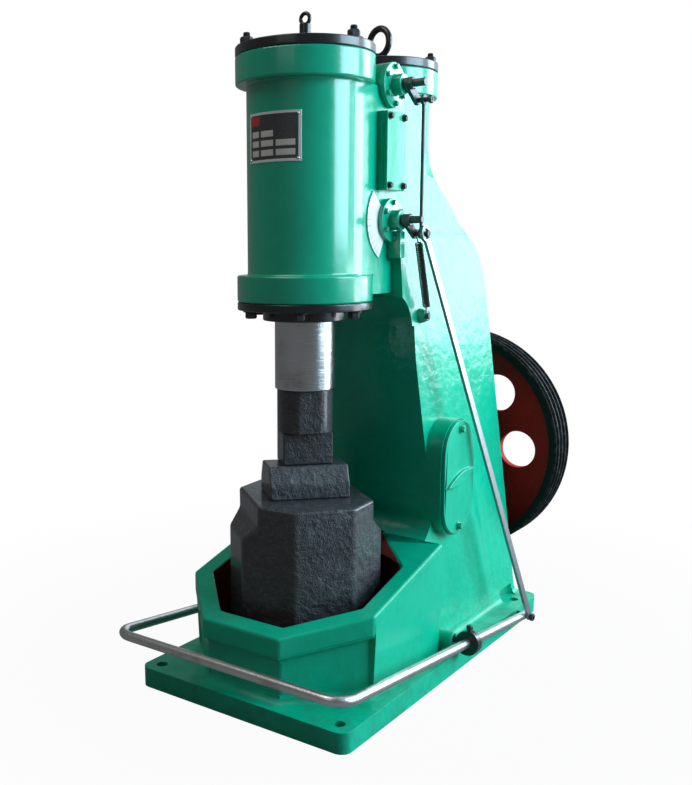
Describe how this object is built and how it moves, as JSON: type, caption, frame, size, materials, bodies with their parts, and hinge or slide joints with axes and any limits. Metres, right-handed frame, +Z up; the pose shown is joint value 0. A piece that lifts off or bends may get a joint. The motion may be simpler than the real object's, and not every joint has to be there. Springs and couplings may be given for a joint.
{
  "type": "power forging hammer",
  "caption": "One-piece pneumatic forging hammer with an octagonal anvil well, twin upright cylinders, sliding ram, U-shaped treadle and a grooved drive pulley behind.",
  "frame": {"origin": "middle of the base plate's underside, on the floor", "axes": "+X to the lever side (the machine's right), +Y to the back, +Z up"},
  "size_m": [0.574, 0.9955, 1.2965],
  "materials": {
    "green_enamel": "glossy green machine enamel",
    "black_enamel": "black enamel",
    "black_forging": "rough black forged and cast surface",
    "dark_steel": "dark oiled steel",
    "polished_steel": "ground and polished steel",
    "label_plate": "bare printed plate without lettering",
    "red_enamel": "dark red enamel with a black rim",
    "bright_pipe": "bright steel pipe",
    "bar_steel": "grey flat steel"
  },
  "bodies": {
    "frame": {"base_plate": "green_enamel", "anvil_well": "green_enamel", "column": "green_enamel", "work_cylinder": "green_enamel", "compressor_cylinder": "green_enamel", "front_cap": "black_enamel", "rear_cap": "black_enamel", "gland_plate": "black_enamel", "gland_ring": "black_enamel", "front_eyebolt": "black_enamel", "rear_eyebolt": "black_enamel", "nameplate": "label_plate", "cover_plate": "green_enamel", "dial_plate": "label_plate", "upper_valve": "green_enamel", "lower_valve": "green_enamel", "inspection_cover": "green_enamel", "spring_stud": "dark_steel", "anvil_block": "black_forging", "lower_die": "black_forging", "shaft_housing": "green_enamel", "bearing_right": "green_enamel", "bearing_left": "green_enamel", "spring": "dark_steel"},
    "ram": {"ram_rod": "polished_steel", "ram_foot": "black_forging", "upper_die": "black_forging"},
    "pulley": {"pulley": "red_enamel", "pulley_shaft": "polished_steel"},
    "treadle": {"treadle": "bright_pipe", "treadle_pin_right": "black_enamel", "treadle_pin_left": "black_enamel", "pull_bar_bolt": "dark_steel"},
    "pull_bar": {"pull_bar": "bar_steel"},
    "lower_lever": {"lower_lever": "dark_steel"},
    "upper_lever": {"upper_lever": "dark_steel"},
    "link_rod": {"link_rod": "dark_steel"}
  },
  "joints": [
    {"name": "ram_slide", "type": "slide", "parent": "frame", "child": "ram", "axis": [0, 0, 1], "range_m": [0, 0.2]},
    {"name": "pulley_turn", "type": "hinge", "parent": "frame", "child": "pulley", "pos_m": [0, 0.427, 0.386], "axis": [0, 1, 0], "continuous": true},
    {"name": "treadle_press", "type": "hinge", "parent": "frame", "child": "treadle", "pos_m": [0, 0.004, 0.066], "axis": [1, 0, 0], "range_deg": [0, 5], "stiffness_Nm_per_rad": 60, "springref_deg": -17.19},
    {"name": "pull_bar_pivot", "type": "hinge", "parent": "treadle", "child": "pull_bar", "pos_m": [0.262, 0.29219, 0.03367], "axis": [1, 0, 0], "range_deg": [-6, 0.5]},
    {"name": "lower_lever_turn", "type": "hinge", "parent": "frame", "child": "lower_lever", "pos_m": [0.14, -0.081, 0.907], "axis": [1, 0, 0], "range_deg": [-1, 38.5], "deforming": ["spring"]},
    {"name": "upper_lever_turn", "type": "hinge", "parent": "frame", "child": "upper_lever", "pos_m": [0.14, -0.081, 1.152], "axis": [1, 0, 0], "range_deg": [-1, 38.5]},
    {"name": "link_rod_turn", "type": "hinge", "parent": "lower_lever", "child": "link_rod", "pos_m": [0.16, -0.04414, 0.88119], "axis": [1, 0, 0], "range_deg": [-38.5, 1]}
  ],
  "couplings": [
    {"joint": "pull_bar_pivot", "follows": "treadle_press", "ratio": -1.086},
    {"joint": "lower_lever_turn", "follows": "treadle_press", "ratio": 7.49},
    {"joint": "upper_lever_turn", "follows": "treadle_press", "ratio": 7.49},
    {"joint": "link_rod_turn", "follows": "treadle_press", "ratio": -7.49}
  ]
}
